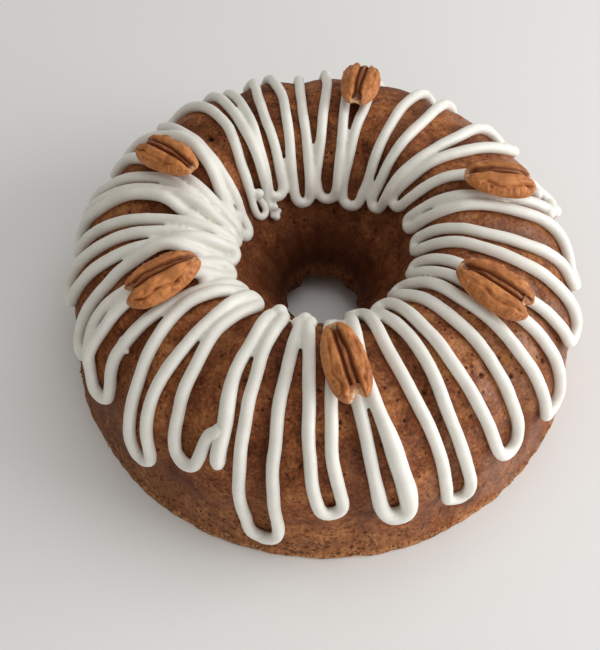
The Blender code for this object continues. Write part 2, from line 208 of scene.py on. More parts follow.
# Each pecan half: angle, reach in millimetres, turn of its long axis, share of full size and
# of full width, turn of the middle ridge at the inner and the outer tip, depth of the side
# groove on the left and the right lobe, and depth of the notch at the inner and the outer tip
PECANS = (
    (-111.5, 99, -13, 0.93, 0.96, 2, -6, 0.3, 1.3, 0.3, 0.8),
    (-59.3, 99.3, 2, 0.97, 0.97, -4, -14, 0.3, 1.5, 0.4, 1.5),
    (7.7, 98.5, 9, 0.95, 0.93, -4, 4, 1.1, 0.9, 0.2, 1.6),
    (60.3, 102.8, 0, 0.97, 1.04, 0, 4, 1.1, 0.7, 0.3, 1.6),
    (103.2, 101.2, -12, 0.91, 1.04, 6, 14, 1.4, 0.3, 0.3, 1.2),
    (168, 101.5, 4, 0.92, 1.00, 4, -6, 0.5, 0.8, 1.0, 1.2),
)

# Crumbs along the lip: number, first and last angle, and smallest and largest size
CRUMBS = 90
CRUMB_SPAN = (-95, 75)
CRUMB_SIZE = (0.0003, 0.0009)


# Sizes and colours that a user would change

def length(name, description, default):
    return FloatProperty(name=name, description=description, default=default, unit="LENGTH", precision=4)


def color(name, description, default):
    return FloatVectorProperty(
        name=name, description=description, default=default, subtype="COLOR", size=3, min=0, max=1
    )


class CrustSettings(PropertyGroup):
    flute_depth: length("Flute Depth", "Depth of the grooves between two flutes", 0.0021)
    lump_height: length("Lump Height", "Height of the broad unevenness of the crust", 0.0012)
    dimple_height: length("Dimple Height", "Height of the small unevenness of the crust", 0.0005)
    columns: IntProperty(
        name="Columns", description="Mesh columns round the ring", default=468, min=72, max=520
    )
    row_step: length("Row Step", "Distance between two mesh rows", 0.0014)
    baked: color("Baked", "Main colour of the crust", (0.255, 0.084, 0.031))
    # Dark also paints the shade in the flutes' grooves, low on the left, on the far right, in the hole
    # and in the air holes.
    dark: color("Dark", "Colour of the darkest baked spots", (0.075, 0.021, 0.009))
    light: color("Light", "Colour of the palest patches", (0.500, 0.210, 0.080))
    ember: color("Ember", "Colour of the fine red-brown specks", (0.330, 0.082, 0.024))
    # Crumb also paints the highlights along the lip's edge.
    crumb: color("Crumb", "Colour of the crumb where the crust is torn", (0.560, 0.290, 0.120))


class IcingSettings(PropertyGroup):
    diameter: length("Diameter", "Thickness of the piped rope", 0.0051)
    sink: length("Sink", "How far the rope is pressed into the crust", 0.0005)
    wobble: length("Wobble", "Sideways unsteadiness of the piping", 0.0003)
    grain: length("Grain", "Size of the mesh cells in which the strands are fused", 0.0006)
    sugar: color("Sugar", "Colour of the icing", (0.87, 0.85, 0.79))


class PecanSettings(PropertyGroup):
    half_length: length("Half Length", "Half the length of a full-size pecan half", 0.0170)
    half_width: length("Half Width", "Half the width of a full-size pecan half", 0.0093)
    thickness: length("Thickness", "Height of a full-size pecan half", 0.0092)
    ridge_width: length("Ridge Width", "Width of the ridge between the two lobes", 0.0032)
    groove_depth: length("Groove Depth", "Depth of the two grooves beside the middle ridge", 0.0030)
    skin: color("Skin", "Main colour of the skin", (0.420, 0.142, 0.036))
    # Shade is the colour of the painted shade in the grooves and creases; it also tints the skin's dark
    # streaks.
    shade: color("Shade", "Colour of the skin in the grooves", (0.170, 0.043, 0.012))
    rubbed: color("Rubbed", "Colour of the skin on the ridges", (0.600, 0.225, 0.066))
    flesh: color("Flesh", "Colour of the bare tips", (0.780, 0.600, 0.400))


class StageSettings(PropertyGroup):
    floor: color("Floor", "Colour of the floor", (0.90, 0.90, 0.90))
    lens: FloatProperty(name="Lens", description="Focal length of the camera in mm", default=48.5)
    window: FloatProperty(name="Window", description="Power of the large side light in W", default=11.5)
    ceiling: FloatProperty(name="Ceiling", description="Power of the light above in W", default=5.0)
    front: FloatProperty(name="Front", description="Power of the low front light in W", default=2.2)
    sky: FloatProperty(name="Sky", description="Strength of the even light all round", default=0.34)


# Meshes

def deselect_all():
    if bpy.context.object is not None and bpy.context.object.mode != "OBJECT":
        bpy.ops.object.mode_set(mode="OBJECT")
    bpy.ops.object.select_all(action="DESELECT")


def name_piece(name):
    """Name the object that a primitive operator has just added, and hand it over."""
    piece = bpy.context.object
    piece.name = name
    piece.data.name = name
    return piece


def make_active(piece):
    deselect_all()
    piece.select_set(True)
    bpy.context.view_layer.objects.active = piece


def use_modifier(piece, kind, **settings):
    """Add one modifier to a piece, set it up and apply it."""
    make_active(piece)
    modifier = piece.modifiers.new(kind.lower(), kind)
    for key, value in settings.items():
        setattr(modifier, key, value)
    bpy.ops.object.modifier_apply(modifier=modifier.name)


def points_of(piece):
    points = np.empty(len(piece.data.vertices) * 3)
    piece.data.vertices.foreach_get("co", points)
    return points.reshape(-1, 3)


def store(piece, name, values):
    """Keep one number for each vertex as an attribute that a material can read."""
    attribute = piece.data.attributes.new(name, "FLOAT", "POINT")
    attribute.data.foreach_set("value", np.asarray(values, dtype=np.float32))


def paint_group(piece, name, weights):
    group = piece.vertex_groups.new(name=name)
    for i in np.flatnonzero(weights > 0.001):
        group.add([int(i)], float(min(weights[i], 1.0)), "REPLACE")
    return group


def press(piece, depths):
    """Press a piece's surface in by a depth for each vertex; a negative depth raises it."""
    depths = np.asarray(depths)
    for sign in (1.0, -1.0):
        deepest = (sign * depths).max()
        if deepest <= 0.0:
            continue
        group = paint_group(piece, "press", np.clip(sign * depths / deepest, 0.0, 1.0))
        use_modifier(
            piece, "DISPLACE", vertex_group=group.name, strength=-sign * deepest, mid_level=0.0
        )
        piece.vertex_groups.remove(piece.vertex_groups["press"])


def roughen(piece, kind, size, height, weights=None, **settings):
    """Raise and lower a piece's surface by a texture whose features have a given size."""
    texture = bpy.data.textures.new(f"{piece.name}_{kind.lower()}", kind)
    texture.noise_scale = size
    for key, value in settings.items():
        setattr(texture, key, value)
    choice = {}
    if weights is not None:
        choice["vertex_group"] = paint_group(piece, "rough", weights).name
    use_modifier(
        piece, "DISPLACE", texture=texture, texture_coords="LOCAL", strength=height, **choice
    )
    if weights is not None:
        piece.vertex_groups.remove(piece.vertex_groups["rough"])


def smooth_step(low, high, values):
    share = np.clip((np.asarray(values) - low) / (high - low), 0.0, 1.0)
    return share * share * (3.0 - 2.0 * share)


def bell(values, middle, width):
    return np.exp(-(((values - middle) / width) ** 2))


def noise_over(rows, seed):
    """Smooth noise from -1 to 1 for each row of two coordinates."""
    return np.array([noise.noise(Vector((first, second, seed))) for first, second in rows])


def finish_piece(piece, finish, node):
    """Give a finished piece its material and its place in the frame."""
    piece.data.materials.clear()
    piece.data.materials.append(finish)
    make_active(piece)
    bpy.ops.object.shade_smooth()
    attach(piece, "root")
    if node is not None:
        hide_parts(node)


# The cake's surface

def inner_crest(turn):
    """A point of the superellipse from the hole's wall, at turn 0, up to the crest."""
    reach_in = max(math.cos(turn), 0.0) ** (2 / INNER_POWER)
    return CREST_RADIUS - INNER_SPAN * reach_in, HEIGHT * math.sin(turn) ** (2 / INNER_POWER)


FUNNEL_TURN = math.asin((FUNNEL_TOP / HEIGHT) ** (INNER_POWER / 2))


def throat_radius(height):
    """Radius of the hole below the funnel's top, where the funnel runs into the throat."""
    funnel = inner_crest(FUNNEL_TURN)[0] - FUNNEL_SLOPE * (FUNNEL_TOP - height)
    above = math.exp((funnel - THROAT_RADIUS) / THROAT_SOFTNESS)
    neck = NECK_DEPTH * math.exp(-(((height - NECK_HEIGHT) / NECK_SPREAD) ** 2))
    foot = FOOT_FLARE * math.exp(-((height / FOOT_RISE) ** 2))
    return THROAT_RADIUS + THROAT_SOFTNESS * math.log1p(above) - neck + foot


def hole_profile(steps):
    """The hole's wall, from its foot up to the crest."""
    heights = [FUNNEL_TOP * i / steps for i in range(steps)]
    points = [(throat_radius(height), height) for height in heights]
    for i in range(steps + 1):
        points.append(inner_crest(FUNNEL_TURN + (0.5 * math.pi - FUNNEL_TURN) * i / steps))
    return points


def outer_profile(steps):
    """A quarter of a superellipse, from the crest down to the shoulder."""
    points = []
    for i in range(1, steps + 1):
        turn = 0.5 * math.pi * i / steps
        rise = math.cos(turn) ** (2 / OUTER_POWER) if i < steps else 0.0
        radius = CREST_RADIUS + (SHOULDER_RADIUS - CREST_RADIUS) * math.sin(turn) ** (2 / OUTER_POWER)
        points.append((radius, SHOULDER_HEIGHT + (HEIGHT - SHOULDER_HEIGHT) * rise))
    return points


def reach_along(profile, first):
    """The reach of every point of a profile whose first point has a given reach."""
    reaches = [first]
    for near, far in zip(profile, profile[1:]):
        reaches.append(reaches[-1] + math.dist(near, far))
    return reaches


FINE_HOLE = hole_profile(FINE_PROFILE_STEPS)
FINE_PROFILE = FINE_HOLE + outer_profile(FINE_PROFILE_STEPS) + [(BASE_RADIUS, 0.0)]
FINE_REACH = reach_along(FINE_PROFILE, CREST_REACH - reach_along(FINE_HOLE, 0.0)[-1])


def profile_at(reach):
    """Radius, height and outward direction of the plain outline at a reach in metres."""
    i = min(max(bisect_right(FINE_REACH, reach), 1), len(FINE_PROFILE) - 1)
    (r0, z0), (r1, z1) = FINE_PROFILE[i - 1], FINE_PROFILE[i]
    span = FINE_REACH[i] - FINE_REACH[i - 1]
    share = (reach - FINE_REACH[i - 1]) / span
    outward = (-(z1 - z0) / span, (r1 - r0) / span)
    return r0 + (r1 - r0) * share, z0 + (z1 - z0) * share, outward


def groove_share(angle, radius, height):
    """How far a place lies down the groove between two flutes, from 0 to 1."""
    wave = np.abs(np.sin(np.radians(FLUTES * (angle - FLUTE_START) / 2)))
    fade = np.minimum(1.0, height / FLUTE_FADE)
    inside = np.clip((CREST_RADIUS - radius) / INNER_FLUTE_BLEND, 0.0, 1.0)
    share = 1.0 - (1.0 - INNER_FLUTE_SHARE) * inside
    return share * fade * (1.0 - wave) ** FLUTE_SHARPNESS


def surface(angle, reach, lift, flute_depth):
    """A point at a lift above the fluted surface, and the surface's normal there."""
    radius, height, (out_r, out_z) = profile_at(reach)
    lift = lift - flute_depth * float(groove_share(angle, radius, height))
    turn = math.radians(angle - 90)
    across, along = math.cos(turn), math.sin(turn)
    normal = Vector((out_r * across, out_r * along, out_z))
    return Vector((radius * across, radius * along, height)) + normal * lift, normal


# Materials

class Signal:
    """A shader socket that adds Math nodes when it is used in arithmetic."""

    def __init__(self, finish, socket):
        self.finish = finish
        self.socket = socket

    def math(self, operation, *values):
        sockets = dict(enumerate(values))
        return self.finish.node("ShaderNodeMath", {"operation": operation}, sockets)

    def __add__(self, other):
        return self.math("ADD", self, other)

    def __radd__(self, other):
        return self.math("ADD", other, self)

    def __sub__(self, other):
        return self.math("SUBTRACT", self, other)

    def __rsub__(self, other):
        return self.math("SUBTRACT", other, self)

    def __mul__(self, other):
        return self.math("MULTIPLY", self, other)

    def __rmul__(self, other):
        return self.math("MULTIPLY", other, self)

    def __truediv__(self, other):
        return self.math("DIVIDE", self, other)

    def __pow__(self, other):
        return self.math("POWER", self, other)

    def within(self, low, high):
        """A smooth rise from 0 at low to 1 at high; it falls where low is above high."""
        return self.finish.node(
            "ShaderNodeMapRange",
            {"interpolation_type": "SMOOTHSTEP"},
            {"Value": self, "From Min": low, "From Max": high},
        )


class Finish:
    """A material and the nodes that make it."""

    def __init__(self, name):
        self.material = bpy.data.materials.new(name)
        self.material.use_nodes = True
        self.tree = self.material.node_tree
        self.shader = self.tree.nodes["Principled BSDF"]
        self.place = self.node("ShaderNodeTexCoord", {}, {}, "Object")

    def node(self, kind, settings, sockets, output=0):
        """Add a node, set it up, feed its sockets and return one of its outputs."""
        node = self.tree.nodes.new(kind)
        for key, value in settings.items():
            if key == "stops":
                self.set_stops(node.color_ramp, value)
            else:
                setattr(node, key, value)
        for key, value in sockets.items():
            self.feed(node.inputs[key], value)
        return Signal(self, node.outputs[output])

    def set_stops(self, ramp, stops):
        while len(ramp.elements) < len(stops):
            ramp.elements.new(1.0)
        for element, (position, shade) in zip(ramp.elements, stops):
            element.position = position
            element.color = (*shade, 1.0)

    def feed(self, socket, value):
        if isinstance(value, Signal):
            self.tree.links.new(value.socket, socket)
        elif socket.type == "RGBA" and len(value) == 3:
            socket.default_value = (*value, 1.0)
        else:
            socket.default_value = value

    def set(self, **values):
        """Set or link the shader's own sockets, named with _ for a space."""
        for key, value in values.items():
            self.feed(self.shader.inputs[key.replace("_", " ")], value)

    def noise(self, size, detail=3.0, roughness=0.5, stretch=(1, 1, 1), distortion=0.0):
        """Noise from 0 to 1 whose largest features are about a size across, in metres."""
        place = self.place
        if stretch != (1, 1, 1):
            place = self.node("ShaderNodeMapping", {}, {"Vector": place, "Scale": stretch})
        sockets = {
            "Vector": place, "Scale": 1 / size, "Detail": detail, "Roughness": roughness,
            "Distortion": distortion,
        }
        return self.node("ShaderNodeTexNoise", {}, sockets, "Fac")

    def cells(self, size, feature="F1", output="Distance", randomness=1.0):
        sockets = {"Vector": self.place, "Scale": 1 / size, "Randomness": randomness}
        return self.node("ShaderNodeTexVoronoi", {"feature": feature}, sockets, output)

    def stored(self, name):
        settings = {"attribute_name": name}
        return self.node("ShaderNodeAttribute", settings, {}, "Fac")

    def mix(self, share, first, second, blend="MIX"):
        """A colour between two colours."""
        settings = {"data_type": "RGBA", "blend_type": blend}
        return self.node("ShaderNodeMix", settings, {0: share, 6: first, 7: second}, 2)

    def ramp(self, value, stops):
        return self.node("ShaderNodeValToRGB", {"stops": stops}, {"Fac": value})

    def bump(self, height, distance, strength=1.0):
        sockets = {"Height": height, "Distance": distance, "Strength": strength}
        return self.node("ShaderNodeBump", {}, sockets, "Normal")


def crust_finish(settings):
    crust = Finish("crust")
    x, y, z = (crust.node("ShaderNodeSeparateXYZ", {}, {0: crust.place}, i) for i in range(3))
    radius = (x * x + y * y) ** 0.5
    baked, dark, light = tuple(settings.baked), tuple(settings.dark), tuple(settings.light)

    patches = crust.noise(0.024, detail=2.0)
    mottle = crust.noise(0.0075, detail=4.0, roughness=0.65, distortion=0.4)
    grain = crust.noise(0.0014, detail=3.0, roughness=0.7)
    # Tone a little lighter towards the right: painted sheen where the side light falls. The same mask
    # also places the coat below.
    right = x.within(-0.01, 0.09)
    tone = patches * 0.28 + mottle * 0.36 + grain * 0.36 + right * 0.018
    shade = crust.ramp(tone, ((0.40, dark), (0.50, baked), (0.60, light)))
    embers = crust.noise(0.0024, detail=3.0, roughness=0.6)
    shade = crust.mix(embers.within(0.52, 0.66) * 0.60, shade, tuple(settings.ember))
    # Darker down the grooves between the flutes: painted shade.
    shade = crust.mix(crust.stored("groove") * 0.50, shade, dark)

    # Painted shade: darker low on the left, away from the side light, and towards the far right.
    left = x.within(0.020, -0.080) * z.within(0.060, 0.020)
    shade = crust.mix(left * 0.70, shade, dark)
    shade = crust.mix(x.within(0.045, 0.085) * 0.26, shade, dark)
    # Painted shade in the hole: darker down its wall and darkest in a band round the steep throat.
    hole_shade = radius.within(0.050, 0.038) * z.within(0.076, 0.060)
    shade = crust.mix(hole_shade * 0.42, shade, dark)
    throat_shade = z.within(0.0165, 0.0225) * z.within(0.046, 0.032) * radius.within(0.038, 0.030)
    shade = crust.mix(throat_shade * 0.70, shade, dark)

    side = z.within(0.036, 0.012) * radius.within(0.096, 0.106)
    front_base = side * y.within(-0.02, -0.08) * x.within(0.060, 0.015)
    sponge = crust.noise(0.0021, detail=1.5, stretch=(1, 1, 0.6))
    spot = crust.cells(0.0023)
    pick = crust.node("ShaderNodeSeparateXYZ", {}, {0: crust.cells(0.0023, output="Color")}, 0)
    chance = 0.08 + 0.25 * side + patches.within(0.45, 0.62) * 0.2
    pore = spot.within(0.36, 0.16) * (chance - pick).within(0.0, 0.05)
    shade = crust.mix(pore * 0.85, shade, dark)
    shade = crust.mix(front_base * 0.30, shade, light)
    dots = crust.cells(0.0025).within(0.44, 0.22) * sponge.within(0.62, 0.48)
    holes = dots * (side * 0.25 + front_base * 0.75)
    shade = crust.mix(holes * 0.74, shade, dark)
    faint = sponge.within(0.47, 0.38) * front_base
    shade = crust.mix(faint * 0.35, shade, dark)
    web = sponge.within(0.54, 0.62) * front_base * mottle.within(0.44, 0.56)
    shade = crust.mix(web * 0.30, shade, tuple(settings.crumb))
    # Darker inside the pressed air holes: painted shade.
    pit = crust.stored("pit")
    shade = crust.mix(pit * 0.8, shade, dark)
    # Paler crumb colour in flecks along the lip's edge: painted edge highlights.
    rim = z.within(0.0052, 0.0016) * radius.within(BASE_RADIUS - 0.0024, BASE_RADIUS - 0.0012)
    shade = crust.mix(rim * grain.within(0.44, 0.58) * 0.6, shade, tuple(settings.crumb))

    relief = mottle * 0.40 + grain * 0.35 + embers * 0.2 - pore * 0.9 - holes * 0.8 + web * 0.3
    glaze = right * crust.noise(0.013, detail=3.0).within(0.40, 0.58)
    crust.set(
        Base_Color=shade,
        Roughness=0.46 + mottle * 0.22 + pore * 0.2,
        Specular_IOR_Level=0.09,
        Normal=crust.bump(relief, 0.0009, 0.8),
        Coat_Weight=glaze * 0.50,
        Coat_Roughness=0.36,
    )
    return crust.material


def icing_finish(settings):
    icing = Finish("icing")
    film = icing.noise(0.010, detail=2.0)
    specks = icing.noise(0.0009, detail=2.0)
    sugar = tuple(settings.sugar)
    shaded = tuple(0.93 * part for part in sugar)
    icing.set(
        Base_Color=icing.mix(film.within(0.35, 0.65), shaded, sugar),
        Roughness=0.36 + film * 0.14,
        Normal=icing.bump(film * 0.7 + specks * 0.06, 0.0005, 0.25),
        Subsurface_Weight=0.12,
        Subsurface_Radius=(0.004, 0.003, 0.002),
        Subsurface_Scale=1.0,
    )
    return icing.material


def pecan_finish(settings):
    nut = Finish("pecan")
    depth = nut.stored("depth")
    lengthwise = nut.node(
        "ShaderNodeCombineXYZ", {}, {0: nut.stored("along") * 2.0, 1: nut.stored("turn") * 22.0}
    )
    grain = nut.node("ShaderNodeTexNoise", {}, {"Vector": lengthwise, "Scale": 1.6, "Detail": 4.0}, "Fac")
    streaks = nut.noise(0.0018, detail=4.0, roughness=0.6)
    patches = nut.noise(0.0065, detail=3.0)
    skin, shade = tuple(settings.skin), tuple(settings.shade)
    tint = nut.mix(patches.within(0.38, 0.62), skin, tuple(settings.rubbed))
    tint = nut.mix((grain * 0.4 + streaks * 0.6).within(0.52, 0.36) * 0.45, tint, shade)
    # Darker down the grooves and creases: painted shade.
    tint = nut.mix(depth.within(0.15, 0.75) * 0.90, tint, shade)
    bare = nut.stored("tip") * streaks.within(0.42, 0.58)
    tint = nut.mix(bare * 0.75, tint, tuple(settings.flesh))
    nut.set(
        Base_Color=tint,
        Roughness=0.36 + streaks * 0.26,
        Specular_IOR_Level=0.35,
        Normal=nut.bump(grain * 0.3 + streaks * 0.6 + patches * 0.2, 0.0005, 0.7),
    )
    return nut.material


def crumb_finish(settings):
    crumb = Finish("crumb")
    speck = crumb.noise(0.0010, detail=2.0)
    tint = crumb.mix(speck.within(0.35, 0.65), tuple(settings.baked), tuple(settings.crumb))
    crumb.set(Base_Color=tint, Roughness=0.7)
    return crumb.material


def plain_finish(name, shade, roughness):
    plain = Finish(name)
    plain.set(Base_Color=shade, Roughness=roughness)
    return plain.material


# The crust

def start_outline(name):
    """A piece of one vertex on the axis, in edit mode, from which an outline is extruded."""
    deselect_all()
    bpy.ops.mesh.primitive_plane_add(size=MM)
    piece = name_piece(name)
    bpy.ops.object.mode_set(mode="EDIT")
    bpy.ops.mesh.select_all(action="SELECT")
    bpy.ops.mesh.merge(type="CENTER")
    return piece


def crust_outline(row_step):
    """Closed outline of the ring's section, from the foot of the hole, with a lip at the base."""
    foot_reach, shoulder_reach = FINE_REACH[0], FINE_REACH[-2]
    rows = round((shoulder_reach - foot_reach) / row_step)
    outline = []
    for i in range(rows + 1):
        outline.append(profile_at(foot_reach + (shoulder_reach - foot_reach) * i / rows)[:2])
    foot = BASE_RADIUS - LIP_DEPTH
    side_rows = 12
    for i in range(1, side_rows + 1):
        share = i / side_rows
        height = SHOULDER_HEIGHT + (LIP_TOP - SHOULDER_HEIGHT) * share
        outline.append((SHOULDER_RADIUS + (foot - SHOULDER_RADIUS) * share, height))
    outline += [
        (foot + 0.5 * LIP_DEPTH, 0.5 * (LIP_TOP + LIP_HEIGHT)), (BASE_RADIUS - 0.0002, LIP_HEIGHT),
        (BASE_RADIUS, 0.5 * LIP_HEIGHT), (BASE_RADIUS - 0.0002, LIP_FOOT), (foot, 0.0),
    ]
    for share in (0.3, 0.7):
        outline.append((foot + (outline[0][0] - foot) * share, 0.0))
    return outline


def spin_ring(settings):
    """The plain ring: the outline, extruded point by point and turned round the axis."""
    ring = start_outline("crust")
    here = Vector((0.0, 0.0, 0.0))
    for i, (radius, height) in enumerate(crust_outline(settings.row_step)):
        move = Vector((radius, 0.0, height)) - here
        if i == 0:
            bpy.ops.transform.translate(value=move)
        else:
            bpy.ops.mesh.extrude_region_move(TRANSFORM_OT_translate={"value": move})
        here += move
    bpy.ops.mesh.select_all(action="SELECT")
    bpy.ops.mesh.edge_face_add()
    bpy.ops.mesh.delete(type="ONLY_FACE")
    bpy.ops.object.mode_set(mode="OBJECT")
    use_modifier(
        ring, "SCREW", steps=settings.columns, render_steps=settings.columns,
        use_merge_vertices=True, merge_threshold=WELD_DISTANCE,
    )
    make_active(ring)
    bpy.ops.object.mode_set(mode="EDIT")
    bpy.ops.mesh.select_all(action="SELECT")
    bpy.ops.mesh.remove_doubles(threshold=WELD_DISTANCE)
    bpy.ops.mesh.normals_make_consistent(inside=False)
    bpy.ops.object.mode_set(mode="OBJECT")
    return ring


def pit_air_holes(ring, flute_depth):
    """Refine the mesh round each air hole and press the hole in."""
    spots = [surface(a, s * MM, 0.0, flute_depth)[0] for a, s, size in AIR_HOLES]
    for cuts in (1, 2):
        points = points_of(ring)
        near = np.zeros(len(points), dtype=bool)
        for spot, (angle, reach, size) in zip(spots, AIR_HOLES):
            near |= np.linalg.norm(points - np.array(spot), axis=1) < (size + 1.6 / cuts) * MM
        make_active(ring)
        bpy.ops.object.mode_set(mode="EDIT")
        bpy.ops.mesh.select_all(action="DESELECT")
        bpy.ops.object.mode_set(mode="OBJECT")
        ring.data.vertices.foreach_set("select", near)
        bpy.ops.object.mode_set(mode="EDIT")
        bpy.ops.mesh.subdivide(number_cuts=1)
        bpy.ops.object.mode_set(mode="OBJECT")
    points = points_of(ring)
    depths = np.zeros(len(points))
    for spot, (angle, reach, size) in zip(spots, AIR_HOLES):
        away = points - np.array(spot)
        ragged = 1.0 + 0.25 * np.sin(7.0 * np.arctan2(away[:, 2], away[:, 0]) + angle)
        far = np.linalg.norm(away, axis=1) / (size * MM * ragged)
        depths = np.maximum(depths, 1.3 * size * MM * (1.0 - smooth_step(0.45, 1.0, far)))
    press(ring, depths)
    # The pit depth also drives the painted shade in the air holes.
    store(ring, "pit", depths / max(depths.max(), MM))


def ring_coordinates(points):
    """Angle in degrees from the front, distance from the axis, and height of each point."""
    angle = np.degrees(np.arctan2(points[:, 1], points[:, 0])) + 90
    return angle, np.hypot(points[:, 0], points[:, 1]), points[:, 2]


def noise_round(angle, pitch, seed):
    """Smooth noise from -1 to 1 round the ring; a pitch of 1 gives about 6 waves."""
    turn = np.radians(angle)
    return noise_over(np.column_stack([np.cos(turn) * pitch, np.sin(turn) * pitch]), seed)


def roughen_lip(ring, angle, radius, height):
    """Tear the thin lip round the base."""
    lip = (height > 0.0002) & (height < LIP_TOP) & (radius > BASE_RADIUS - LIP_DEPTH)
    torn = np.zeros(len(angle))
    torn[lip] = 0.34 + 0.5 * noise_round(angle[lip], 6.0, 1.0) + 0.5 * noise_round(angle[lip], 24.0, 2.0)
    press(ring, LIP_DEPTH * np.clip(torn, 0.0, 1.0))


def make_crust(settings):
    ring = spin_ring(settings)
    angle, radius, height = ring_coordinates(points_of(ring))
    groove = groove_share(angle, radius, height)
    press(ring, settings.flute_depth * groove)
    # The groove share also drives the painted shade in the grooves.
    store(ring, "groove", groove)
    above_lip = smooth_step(0.004, 0.014, height)
    roughen(ring, "CLOUDS", 0.018, settings.lump_height, above_lip)
    roughen(ring, "CLOUDS", 0.0045, settings.dimple_height, above_lip)
    roughen_lip(ring, angle, radius, height)
    ragged = 1.3 * noise_round(angle, 0.9, 3.0) + 0.7 * noise_round(angle, 3.5, 8.0)
    flats = 0.8 * np.cos(np.radians(8 * (angle - 22)))
    neck = bell(height, NECK_HEIGHT, 0.006) * (radius < CREST_RADIUS) * (height > LIP_FOOT)
    press(ring, MM * (ragged + flats) * neck)
    pit_air_holes(ring, settings.flute_depth)
    return ring


def make_crumbs():
    """Crumbs scattered along the lip, one mesh for all."""
    picks = random.Random(5)
    deselect_all()
    crumbs = None
    for i in range(CRUMBS):
        size = picks.uniform(*CRUMB_SIZE)
        turn = math.radians(picks.uniform(*CRUMB_SPAN) - 90)
        inward = picks.uniform(0.1, 1.0)
        radius = BASE_RADIUS - 0.5 * MM - LIP_DEPTH * inward
        height = LIP_HEIGHT + (LIP_TOP - LIP_HEIGHT) * inward + 0.4 * size
        place = (radius * math.cos(turn), radius * math.sin(turn), height)
        flat = (1.0, picks.uniform(0.6, 1.0), picks.uniform(0.4, 0.8))
        tilt = [picks.uniform(0.0, math.pi) for axis in range(3)]
        bpy.ops.mesh.primitive_ico_sphere_add(
            subdivisions=2, radius=size, location=place, rotation=tilt, scale=flat
        )
        if crumbs is None:
            crumbs = name_piece("lip_crumbs")
            bpy.ops.object.transform_apply()
            bpy.ops.object.mode_set(mode="EDIT")
    bpy.ops.object.mode_set(mode="OBJECT")
    return crumbs


# The icing

def turn_points(tip, strands, half_width):
    """Half a circle of route points whose far side is the tip, open towards the strands."""
    radius = profile_at(tip[1])[0]
    middle = sum(angle for angle, reach in strands) / 2
    along = Vector((math.radians(tip[0] - middle) * radius, tip[1] - strands[0][1])).normalized()
    across = Vector((abs(along.y), -along.x * math.copysign(1.0, along.y)))
    points = []
    for i in range(TURN_POINTS):
        turn = math.pi * (i / (TURN_POINTS - 1) - 0.5)
        offset = (across * math.sin(turn) + along * (math.cos(turn) - 1.0)) * half_width
        points.append((tip[0] + math.degrees(offset.x / radius), tip[1] + offset.y))
    return points


def outer_loop(out_high, out_low, turn, reach, back_low, back_high):
    """Route points of one loop round the outside: a strand out, a turn and a strand back."""
    reach *= MM
    low = min(LOW_REACH, reach - TURN_RUN_IN)
    half = 0.5 * math.radians(back_low - out_low) * profile_at(reach)[0]
    half = min(max(half, TURN_HALF_WIDTH[0]), TURN_HALF_WIDTH[1])
    out, back = (out_low, low), (back_low, low)
    loop = [(out_high, HIGH_REACH), out, *turn_points((turn, reach), (out, back), half), back]
    return loop if back_high is None else loop + [(back_high, HIGH_REACH)]


def inner_turn(angle, reach, half_width, before, after):
    """Route points of one turn inside the crest, between the strands at two angles."""
    strands = ((before, HIGH_REACH), (after, HIGH_REACH))
    return turn_points((angle, reach * MM), strands, half_width * MM)


def piping_route(start, hook, loops, last, tail):
    """Angle and reach of every route point of one run of the piping bag."""
    route = [(angle, reach * MM) for angle, reach in start]
    route += inner_turn(*hook)
    following = [row[0] for row in loops[1:]] + [last[0]]
    for row, next_out in zip(loops, following):
        route += outer_loop(*row[:6])
        route += inner_turn(*row[6:], row[5], next_out)
    route += outer_loop(*last)
    return route + [(angle, reach * MM) for angle, reach in tail]


def surface_gap(near, far):
    """Distance over the surface between two route points."""
    radius = 0.5 * (profile_at(near[1])[0] + profile_at(far[1])[0])
    turn = (far[0] - near[0] + 180) % 360 - 180
    return math.hypot(math.radians(turn) * radius, far[1] - near[1])


def smooth_route(route, step):
    """The route's own points, and points at most a step apart on a smooth curve between."""
    knots = [0.0]
    for near, far in zip(route, route[1:]):
        knots.append(knots[-1] + math.sqrt(surface_gap(near, far)))
    points = [Vector(point) for point in route]

    def slope(i):
        if i == 0:
            return (points[1] - points[0]) / knots[1]
        before = (points[i] - points[i - 1]) / (knots[i] - knots[i - 1])
        if i == len(points) - 1:
            return before
        after = (points[i + 1] - points[i]) / (knots[i + 1] - knots[i])
        across = (points[i + 1] - points[i - 1]) / (knots[i + 1] - knots[i - 1])
        return before + after - across

    slopes = [slope(i) for i in range(len(points))]
    smooth = []
    for i in range(len(points) - 1):
        width = knots[i + 1] - knots[i]
        count = math.ceil(surface_gap(route[i], route[i + 1]) / step)
        for k in range(count):
            t = k / count
            ease = t * t * (3 - 2 * t)
            pull = slopes[i] * (t**3 - 2 * t**2 + t) + slopes[i + 1] * (t**3 - t**2)
            smooth.append(points[i].lerp(points[i + 1], ease) + pull * width)
    smooth.append(points[-1])
    return smooth


def blur(values, spread):
    """Smooth a row of numbers with a bell of a given spread, in steps."""
    steps = np.arange(-3 * spread, 3 * spread + 1)
    bell = np.exp(-0.5 * (steps / spread) ** 2)
    padded = np.pad(values, 3 * spread, mode="edge")
    return np.convolve(padded, bell / bell.sum(), mode="valid")


